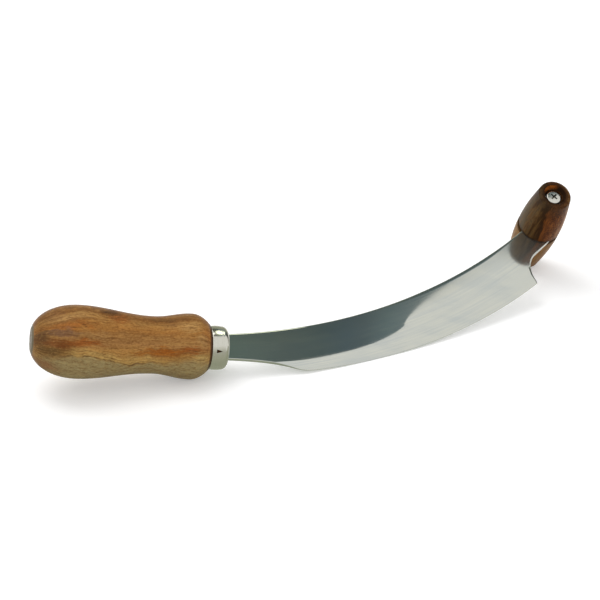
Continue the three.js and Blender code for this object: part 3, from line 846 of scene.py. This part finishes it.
def plated_steel(name, axis, bright, dull, roughness, recess=None):
    """Bright plate with turning marks round its own axis, given as a centre and the axis's direction.

    A recess, given as a radius and a height, gets painted shade inside the radius and under the height.
    """
    plate = Shader(name, Metallic=1.0)
    centre, lengthwise = axis
    place = plate.vector("SUBTRACT", plate.place, centre)
    height = plate.vector("DOT_PRODUCT", place, lengthwise)
    radius = plate.vector("LENGTH", plate.vector("CROSS_PRODUCT", place, lengthwise))
    rings = plate.noise((5, 5, 0), 3, place=plate.join(height, radius, 0))
    specks = plate.noise((0.9, 0.9, 0.9), 4, 0.65)
    plate.colour = plate.mix(rings, bright, dull)
    if recess:
        # Painted shade in the recess, darker below its top
        recess_radius, recess_top = recess
        depth = plate.remap(plate.math("ABSOLUTE", height), recess_top, recess_top - 0.4, 0, 0.8)
        inside = plate.remap(radius, recess_radius + 0.2, recess_radius - 0.1)
        plate.blend(plate.product(depth, inside), (104, 98, 82))
    plate.blend(plate.remap(specks, 0.58, 0.78, 0, 0.35), (122, 118, 104))
    worn = plate.remap(plate.total(rings, specks), 0.7, 1.3, roughness * 0.7, roughness * 1.5)
    plate.paint(Base_Color=plate.colour, Roughness=worn)
    plate.bump(rings, 0.02, 0.00002)
    return plate.material


def varnish(wood, fibres, pores, rough, smooth):
    """Gives a wood its colour, a sheen that follows the fibres, and pores that show through the coat."""
    wood.paint(Base_Color=wood.colour, Roughness=wood.remap(fibres, 0.3, 0.7, rough, smooth))
    wood.bump(wood.math("SUBTRACT", fibres, wood.remap(pores, 0.6, 0.75, 0, 0.5)), 0.15, 0.0003)
    return wood.material


# The way down the handle's shown side, and the course along it of the border between heartwood and sapwood,
# with a limit to its depths and the depth at which the grain isn't bent
DOWN = Vector((0, -0.852, -0.524))
BORDER = [
    (-107, 8.5), (-87, 7.9), (-81, 8.7), (-75, 7.7), (-71, 8.7),
    (-62, 10.6), (-53, 12.4), (-48, 12.7), (-43, 11.2), (-38, 10.6),
    (-30, 10.8), (-24, 9.7), (-18, 8.2), (-11, 7.1), (0, 8.0),
]
BORDER_LIMIT = 16
BORDER_LEVEL = 9

# Tones by depth down the shown side, spread over LAYERS_REACH to either side of the handle's axis
LAYERS_REACH = 24
HEARTWOOD = [
    (-22, (136, 98, 54)),
    (-20, (152, 106, 54)),
    (-18.5, (132, 86, 38)),
    (-16, (170, 124, 64)),
    (-12, (180, 126, 62)),
    (-9, (176, 120, 58)),
    (-5, (172, 124, 68)),
    (0, (178, 128, 72)),
    (5, (186, 134, 68)),
    (11, (194, 148, 80)),
]
SAPWOOD = [(5, (172, 148, 96)), (12, (162, 146, 100)), (18, (152, 138, 96)), (22, (146, 130, 90))]

# Patches: place along the handle and down its shown side, reach in both directions, strength and tone;
# the late ones lie over both woods, and two of the first are painted highlights
KNOT = (-61, -19.5)
HEART_PATCHES_AND_HIGHLIGHTS = [
    # Painted highlight: the sheen on the bulge's upper side
    ((-81, -15), (14, 2.6), 0.7, (190, 146, 86)),
    ((-88, -10.7), (20, 2.6), 0.7, (176, 104, 42)),
    ((-92, -6.4), (15, 3.4), 0.85, (122, 90, 70)),
    ((-102, 0), (6, 13), 0.9, (80, 56, 36)),
    ((-95, 2.6), (8, 4), 0.7, (152, 88, 48)),
    ((-88, 1.2), (11, 4.6), 0.95, (118, 58, 10)),
    ((-77, -0.3), (12, 3), 0.9, (160, 84, 22)),
    ((-90, 8), (11, 4), 0.7, (108, 78, 36)),
    ((-72, -6), (12, 3), 0.5, (168, 128, 78)),
    ((-36, 7.2), (14, 3), 0.95, (164, 94, 24)),
    ((-24, 4.6), (20, 3.4), 1, (168, 92, 18)),
    ((-18, 8), (9, 3), 0.5, (132, 92, 40)),
    ((-11, 2.8), (8, 3), 1, (160, 74, 8)),
    # Painted highlight: the sheen on the collar
    ((-13, -13), (8, 5), 0.75, (196, 152, 90)),
    ((-3, -8), (4, 10), 0.5, (170, 106, 48)),
    ((-6.5, 6.5), (6, 5), 0.95, (196, 164, 98)),
    ((-6, -4.5), (5, 4), 0.5, (190, 150, 94)),
    ((-56, -16.5), (8, 4), 0.85, (150, 80, 26)),
    (KNOT, (6, 2.4), 1, (58, 34, 18)),
]
LATE_PATCHES = [
    ((-97, 9), (8, 6), 0.8, (96, 72, 38)),
    ((-27, -19.4), (17, 1.3), 0.8, (100, 66, 30)),
    ((-100, 19), (10, 3), 0.6, (150, 92, 54)),
]


class HandleWood(Shader):
    """The handle's wood: its place along the handle, its depth down the shown side, and its grain."""

    def __init__(self):
        super().__init__("varnished_handle_wood", IOR=1.45, Specular_IOR_Level=0.1)
        self.x, y, z = self.split(self.place)
        lean = self.vector("DOT_PRODUCT", self.place, DOWN)
        radius = self.math("MAXIMUM", self.vector("LENGTH", self.join(0, y, z)), BUTT_RADIUS)
        swell = self.math("DIVIDE", BULGE_RADIUS, radius)
        sway = self.remap(self.noise((0.05, 0.05, 0.05), 2), 0.25, 0.75, -1.6, 1.6)
        ripple = self.remap(self.noise((0.16, 0.2, 0.2), 3), 0.2, 0.8, -1, 1)
        self.depth = self.total(self.product(lean, swell), self.total(sway, ripple))

        levels = [(place, (level / BORDER_LIMIT,) * 3 + (1,)) for place, level in BORDER]
        course = self.product(self.ramp(self.x, levels, kind="B_SPLINE"), BORDER_LIMIT)
        wobble = self.remap(self.noise((0.2, 0.2, 0.2), 2, 0.35), 0.2, 0.8, -0.8, 0.8)
        self.under = self.math("SUBTRACT", self.total(lean, wobble), course)

        # The grain follows the handle's outline, and bends along with the border, less so further up.
        bend = self.math("SUBTRACT", course, BORDER_LEVEL)
        bend = self.product(bend, self.remap(lean, -18, 8, 0.2, 1))
        bend = self.math("SUBTRACT", bend, sway)
        bent = self.vector("MULTIPLY", self.join(bend, bend, bend), DOWN)
        even = self.join(self.x, self.product(y, swell), self.product(z, swell))
        along_grain = self.vector("SUBTRACT", even, bent)

        def grain(scales, *settings):
            return self.noise(scales, *settings, place=along_grain)

        self.fibres = grain((0.05, 0.9, 0.9), 5, 0.6, 0.3)
        self.streaks = grain((0.03, 0.4, 0.4), 4, 0.6, 0.6)
        self.flecks = grain((0.16, 1.5, 1.5), 3, 0.6)
        self.pores = grain((0.35, 2.6, 2.6), 2, 0.5)
        self.ragged = self.remap(grain((0.12, 0.8, 0.8), 5, 0.7), 0.3, 0.7, -0.35, 0.35)

    def layers(self, tones):
        stops = [(place, tone(*rgb)) for place, rgb in tones]
        return self.ramp(self.depth, stops, (-LAYERS_REACH, LAYERS_REACH))

    def from_place(self, centre, reach):
        aside = self.math("DIVIDE", self.math("SUBTRACT", self.x, centre[0]), reach[0])
        below = self.math("DIVIDE", self.math("SUBTRACT", self.depth, centre[1]), reach[1])
        return self.vector("LENGTH", self.join(aside, below, 0))

    def patches(self, spots):
        """Blends each spot's tone in round its place, ragged along the grain."""
        for centre, reach, strength, rgb in spots:
            far = self.total(self.from_place(centre, reach), self.ragged)
            self.blend(self.remap(far, 1.2, 0.3, 0, strength), rgb)


def handle_wood():
    wood = HandleWood()
    x = wood.x
    wood.colour = wood.layers(HEARTWOOD)
    wood.patches(HEART_PATCHES_AND_HIGHLIGHTS)

    # Swirls round the knot, and dark and light streaks
    from_knot = wood.from_place(KNOT, (2.6, 1))
    swirls = wood.math("SINE", wood.product(wood.total(from_knot, wood.ragged), 3.4))
    swirls = wood.product(wood.remap(swirls, 0.3, 0.95), wood.remap(from_knot, 8, 2, 0, 0.6))
    wood.blend(swirls, (96, 58, 24))
    wood.blend(wood.remap(wood.streaks, 0.5, 0.66, 0, 0.55), (128, 82, 36))
    wood.blend(wood.remap(wood.streaks, 0.44, 0.3, 0, 0.45), (192, 148, 82))

    # The golden band above the border, the sapwood under it, and what lies over both
    gilt = wood.product(wood.remap(wood.under, -7, -2, 0, 0.85), wood.remap(x, -90, -80))
    gilt = wood.product(gilt, wood.remap(x, -24, -44, 0.3, 1), wood.remap(wood.ragged, 0.25, -0.1, 0.35, 1))
    wood.blend(gilt, (196, 160, 92))
    crisp = wood.product(wood.remap(x, -94, -80, 0.25, 1), wood.remap(x, -20, -36, 0.3, 1))
    zone = wood.remap(wood.product(wood.under, crisp), -0.6, 1.2, 0, 0.92)
    wood.blend(zone, wood.layers(SAPWOOD))
    wood.patches(LATE_PATCHES)
    wood.blend(wood.remap(x, -84, -106, 0, 0.3), (92, 68, 42))

    # Fibres, flowing lines, dashes, pores and mottling
    wood.blend(wood.remap(wood.fibres, 0.4, 0.62, 0.3, 0), (112, 76, 38))
    phase = wood.total(wood.product(wood.depth, 2.4), wood.product(wood.streaks, 16))
    lines = wood.remap(wood.math("SINE", phase), 0.5, 0.98)
    flow = wood.product(lines, wood.remap(wood.flecks, 0.4, 0.6, 0.1, 0.5))
    wood.blend(flow, (104, 64, 28))
    fainter = wood.remap(zone, 0.2, 0.9, 1, 0.6)
    dashes = wood.product(wood.remap(wood.flecks, 0.54, 0.68, 0, 0.42), fainter)
    wood.blend(dashes, (96, 62, 30))
    wood.blend(wood.remap(wood.pores, 0.6, 0.74, 0, 0.4), (80, 52, 28))
    mottle = wood.noise((0.7, 0.9, 0.9), 3, 0.6)
    wood.blend(wood.remap(mottle, 0.48, 0.68, 0, 0.34), (90, 56, 20))
    wood.blend(wood.remap(mottle, 0.46, 0.32, 0, 0.2), (196, 152, 84))

    # The vein along the border, the butt's end grain greyed by a painted sheen, and painted shadow at the
    # shoulder where the wood meets the ferrule
    faint = wood.remap(wood.noise((0.2, 0.3, 0.3), 2), 0.35, 0.6, 0.25, 0.75)
    faint = wood.product(faint, wood.remap(x, -94, -86), wood.remap(x, -20, -38, 0.1, 1))
    vein = wood.remap(wood.math("ABSOLUTE", wood.under), 0.7, 0.1)
    wood.blend(wood.product(vein, faint), (88, 64, 38))
    # End grain on the butt's flat, with a painted sheen in its grey
    wood.blend(wood.remap(x, 0.9 - HANDLE_LENGTH, 0.6 - HANDLE_LENGTH, 0, 0.85), (102, 98, 78))
    # Painted shadow in the gap where the wood meets the ferrule
    wood.blend(wood.remap(x, -1.8, -0.7, 0, 0.9), (68, 38, 20))
    return varnish(wood, wood.fibres, wood.pores, 0.5, 0.36)


# The grip's tones by their place to the side of its axis, spread over GRIP_REACH to either side; the greyish
# left side and the dark band down the middle are partly painted reflection of bright and dark surroundings in
# the varnish
GRIP_REACH = 14
GRIP_TONES_AND_REFLECTIONS = [
    (-13.44, (88, 74, 50)),
    (-11.2, (104, 76, 41)),
    (-8.4, (72, 49, 24)),
    (-6.16, (48, 28, 10)),
    (-3.92, (58, 33, 12)),
    (-1.12, (110, 61, 22)),
    (6.16, (128, 76, 33)),
    (12.32, (180, 132, 74)),
]


def grip_wood():
    wood = Shader("dark_grip_wood", IOR=1.45, Specular_IOR_Level=0.06)
    x, y, z = wood.split(wood.vector("SUBTRACT", wood.place, (*GRIP_AXIS, 0)))
    streaks = wood.noise((0.3, 0.3, 0.03), 4, 0.6, 0.4)
    fibres = wood.noise((1.4, 1.4, 0.06), 4, 0.6)
    pores = wood.noise((3, 3, 0.3), 2)
    sway = wood.remap(streaks, 0.3, 0.7, -3.5, 3.5)
    ripple = wood.remap(fibres, 0.3, 0.7, -1.5, 1.5)
    shifted = wood.total(x, wood.total(sway, ripple))
    stops = [(place, tone(*rgb)) for place, rgb in GRIP_TONES_AND_REFLECTIONS]
    # Wood tones across the grip, with painted reflection in them
    wood.colour = wood.ramp(shifted, stops, (-GRIP_REACH, GRIP_REACH))

    # Dark curls towards the tip
    curls = wood.noise((0.5, 0.5, 0.35), 3, 0.5, 1.6)
    curls = wood.remap(wood.math("ABSOLUTE", wood.math("SUBTRACT", curls, 0.5)), 0.09, 0.02, 0, 0.8)
    wood.blend(wood.product(curls, wood.remap(x, -4, 0), wood.remap(x, 5, 11, 1, 0.3)), (54, 22, 8))

    # Darker towards the shown end, paler behind the blade, with painted shadow where the grips meet the
    # blade, fibres and pores
    wood.blend(wood.remap(z, 22, 34, 0, 0.55), (54, 44, 30))
    wood.blend(wood.remap(z, 1, -1, 0, 0.7), (158, 116, 62))
    # Painted shadow along the grips' feet next to the blade
    wood.blend(wood.remap(wood.math("ABSOLUTE", z), 3.2, 1.6, 0, 0.75), (46, 28, 12))
    wood.blend(wood.remap(fibres, 0.35, 0.62, 0.4, 0), (56, 32, 14))
    wood.blend(wood.remap(pores, 0.6, 0.72, 0, 0.6), (30, 18, 10))

    # The end face's darker rim, and painted shade in its dish with painted light on one side
    radius = wood.vector("LENGTH", wood.join(x, y, 0))
    facing = wood.remap(wood.math("ABSOLUTE", z), GRIP_END - 3, GRIP_END - 2.4)
    rim = wood.remap(radius, GRIP_FACE_RADIUS + 1.4, GRIP_FACE_RADIUS, 0, 0.7)
    wood.blend(wood.product(facing, rim), (48, 28, 12))
    dish = wood.remap(radius, GRIP_DISH_RADIUS + 0.1, GRIP_DISH_RADIUS - 0.3, 0, 0.85)
    lit = wood.remap(wood.vector("DOT_PRODUCT", wood.join(x, y, 0), (-0.42, 0.91, 0)), 3.5, 6.5)
    lit = wood.product(lit, wood.remap(fibres, 0.4, 0.55, 0.4, 1))
    # Painted shade in the dish, with painted light on its far side
    shade = wood.mix(lit, tone(40, 24, 12), tone(164, 90, 28))
    wood.blend(wood.product(facing, dish), shade)
    return varnish(wood, fibres, pores, 0.46, 0.32)


# Pieces


grip_centre = (*GRIP_AXIS, 0)
ferrule_plate = plated_steel(
    "bright_ferrule_plate", ((0, 0, 0), (1, 0, 0)), tone(212, 210, 200), tone(196, 194, 182), roughness=0.16
)
hardware_steel = plated_steel(
    "plated_hardware_steel",
    (grip_centre, (0, 0, 1)),
    tone(218, 217, 210),
    tone(196, 194, 184),
    roughness=0.2,
    recess=(CROSS_SPAN / 2, HEAD_SEAT + HEAD_HEIGHT - 0.2),
)
dark_wood = grip_wood()
at_grip = Matrix.Translation(grip_centre)
behind = at_grip @ Matrix.Rotation(math.pi, 4, "X")

make_piece("turned_handle", handle_solid(), handle_wood(), "main_handle")
make_piece("capped_ferrule", ferrule_solid(), ferrule_plate, "ferrule")
make_piece("curved_blade", blade_solid(), blade_steel(), "blade", level=True)
make_piece("shown_grip", grip_solid(SCREW_HOLE_RADIUS), dark_wood, "front_grip", at_grip)
make_piece("back_grip", grip_solid(SLEEVE_HOLE_RADIUS), dark_wood, "rear_grip", behind)
for name, solid, node, place in (
    ("cross_screw", screw_solid(), "grip_screw", at_grip),
    ("sleeve_nut", sleeve_solid(), "grip_sleeve_nut", behind),
    ("shown_washer", washer_solid(SCREW_HOLE_RADIUS), "screw_washer", at_grip),
    ("back_washer", washer_solid(SLEEVE_HOLE_RADIUS), "nut_washer", behind),
):
    make_piece(name, solid, hardware_steel, node, place)


# Studio: white floor and surroundings, cards that only reflections show, and one soft lamp, all in metres


FLOOR_REACH = 12
FLOOR_LEVEL = -1e-4
FLOOR_SHADE = (0.86, 0.86, 0.86, 1)
FLOOR_GLOW = 0.3
CARD_LEVEL = 3e-4
CEILING_HEIGHT = 2
CEILING_FRONT = -0.1
STAGE_SIDE = 4
STAGE_BACK = 2.8
WALL_FOOT = 0.3
HAZE_TOP = 2.4
DARK_SIDE = 3
DARK_SIDE_FRONT = 0.9
DARK_SIDE_TOP = 3.5
DARK_CORNER = (0.25, 0.1, CARD_LEVEL)
TABLE_SIDE = 2
TABLE_BACK = -0.03
DARK = (0.1, 0.11, 0.1)
OLIVE = (0.40, 0.42, 0.32)
HAZE = (0.52, 0.53, 0.46)
GLINT_SIDES = 24
WHITE = (1, 1, 1, 1)
ROOM_LIGHT = 0.75
LAMP_SIZE = (1.0, 1.4)
LAMP_POWER = 10.5
LAMP_PLACE = Vector((-0.5, 0.55, 1.45))
LAMP_AIM = Vector((0, -0.03, 0.03))
CAMERA_PLACE = Vector((-0.22438, -1.29355, 0.72205))
CAMERA_AZIMUTH = math.radians(-9.672)
CAMERA_ELEVATION = math.radians(28.173)
CAMERA_ROLL = math.radians(-0.7215)
LENS = 144


def stage_sheet(name, corners, material):
    mesh = bpy.data.meshes.new(name)
    mesh.from_pydata(corners, [], [list(range(len(corners)))])
    mesh.materials.append(material)
    sheet = add_object(name, mesh)
    return sheet


def rectangle(first, last):
    """Corners of a level or upright rectangle, from two opposite ones."""
    x, y, z = first
    if z == last[2]:
        return [first, (last[0], y, z), last, (x, last[1], z)]
    return [first, (last[0], last[1], z), last, (x, y, last[2])]


def make_floor():
    look = Shader("pale_floor", Base_Color=FLOOR_SHADE, Roughness=1, Specular_IOR_Level=0)
    look.paint(Emission_Color=WHITE, Emission_Strength=look.product(look.seen_directly(), FLOOR_GLOW))
    corners = rectangle((-FLOOR_REACH, -FLOOR_REACH, FLOOR_LEVEL), (FLOOR_REACH, FLOOR_REACH, FLOOR_LEVEL))
    stage_sheet("floor", corners, look.material)


def card(name, corners, *stops, axis="X"):
    """A sheet that shows only in reflections, in one colour or shaded along an axis, and casts no shadow."""
    look = Shader(name)
    look.colour = (*stops[0][1], 1)
    if len(stops) > 1:
        stops = [(place, (*colour, 1)) for place, colour in stops]
        look.colour = look.ramp(look.split(look.in_metres)[axis], stops)
    glow = look.node("ShaderNodeEmission", look.colour)
    look.feed(look.tree.nodes["Material Output"].inputs["Surface"], glow.outputs[0])
    sheet = stage_sheet(name, corners, look.material)
    sheet.visible_camera = False
    sheet.visible_diffuse = False
    sheet.visible_shadow = False


def hang_ceiling():
    """A dim ceiling whose front rim makes the border between the blade's dark and bright parts."""
    rim = Path(-STAGE_SIDE, CEILING_FRONT)
    rim.line(0.66, CEILING_FRONT)
    rim.line(0.78, -0.054)
    rim.curve((0.909, -0.03), (0.946, 0.0055))
    rim.curve((0.942, 0.016), (0.993, 0.058), (1.012, 0.0695))
    rim.line(STAGE_SIDE, STAGE_BACK)
    rim.line(-STAGE_SIDE, STAGE_BACK)
    card(
        "dim_ceiling",
        [(*point, CEILING_HEIGHT) for point in rim.points],
        (0.45, (0.090, 0.094, 0.068)),
        (0.66, (0.125, 0.182, 0.162)),
        (0.75, (0.092, 0.132, 0.126)),
        (0.81, (0.068, 0.110, 0.116)),
        (0.85, (0.060, 0.105, 0.132)),
        (0.88, (0.080, 0.124, 0.146)),
        (0.92, (0.138, 0.200, 0.218)),
        (0.955, (0.190, 0.248, 0.270)),
        (1.00, (0.200, 0.255, 0.275)),
    )


def hang_cards():
    wall = rectangle((-STAGE_SIDE, STAGE_BACK, CEILING_HEIGHT), (STAGE_SIDE, STAGE_BACK, WALL_FOOT))
    card("olive_wall", wall, (0, OLIVE))
    centre = Vector((0.0125, 0.025, 0.19))
    wide = Vector((0.04, 0, 0))
    tall = Vector((0, 0.04, -0.0225))
    turns = [2 * math.pi * step / GLINT_SIDES for step in range(GLINT_SIDES)]
    oval = [centre + wide * math.cos(turn) + tall * math.sin(turn) for turn in turns]
    card("ferrule_glint", oval, (0, (2.6, 2.7, 2.2)))
    side = rectangle((DARK_SIDE, DARK_SIDE_FRONT, DARK_SIDE_TOP), (DARK_SIDE, STAGE_SIDE, 0))
    card("dark_side", side, (0, DARK))
    card("dark_corner", rectangle(DARK_CORNER, (DARK_SIDE, STAGE_SIDE, CARD_LEVEL)), (0, DARK))
    front = rectangle((-STAGE_SIDE, -STAGE_SIDE, 0), (STAGE_SIDE, -STAGE_SIDE, HAZE_TOP))
    card("front_haze", front, (0, HAZE), (HAZE_TOP, (0.95, 0.95, 0.92)), axis="Z")
    card(
        "dim_table",
        rectangle((-TABLE_SIDE, TABLE_BACK, CARD_LEVEL), (TABLE_SIDE, -STAGE_SIDE, CARD_LEVEL)),
        (-0.16, HAZE),
        (-0.085, (0.48, 0.50, 0.40)),
        (-0.065, (0.41, 0.44, 0.34)),
        axis="Y",
    )


def light_room():
    """White surroundings that light the scene less than they show."""
    world = bpy.data.worlds.new("studio")
    bpy.context.scene.world = world
    world.use_nodes = True
    sky = Nodes(world.node_tree)
    shown = sky.tree.nodes["Background"]
    sky.feed(shown.inputs["Color"], WHITE)
    sky.feed(shown.inputs["Strength"], 1)
    lighting = sky.node("ShaderNodeBackground", WHITE, ROOM_LIGHT)
    either = sky.node("ShaderNodeMixShader", sky.seen_directly(), lighting.outputs[0], shown.outputs[0])
    sky.feed(sky.tree.nodes["World Output"].inputs["Surface"], either.outputs[0])


def hang_lamp():
    light = bpy.data.lights.new("soft_lamp", "AREA")
    light.shape = "RECTANGLE"
    light.size, light.size_y = LAMP_SIZE
    light.energy = LAMP_POWER
    lamp = add_object("soft_lamp", light)
    lamp.location = LAMP_PLACE
    lamp.rotation_euler = (LAMP_PLACE - LAMP_AIM).to_track_quat("Z", "Y").to_euler()


def set_camera():
    """The camera that was fitted to the photograph."""
    lens = bpy.data.cameras.new("camera")
    lens.lens = LENS
    camera = add_object("camera", lens)
    camera.matrix_world = (
        Matrix.Translation(CAMERA_PLACE)
        @ Matrix.Rotation(CAMERA_AZIMUTH, 4, "Z")
        @ Matrix.Rotation(QUARTER - CAMERA_ELEVATION, 4, "X")
        @ Matrix.Rotation(CAMERA_ROLL, 4, "Z")
    )
    bpy.context.scene.camera = camera


make_floor()
hang_ceiling()
hang_cards()
light_room()
hang_lamp()
set_camera()
bpy.context.scene.view_settings.view_transform = "Standard"
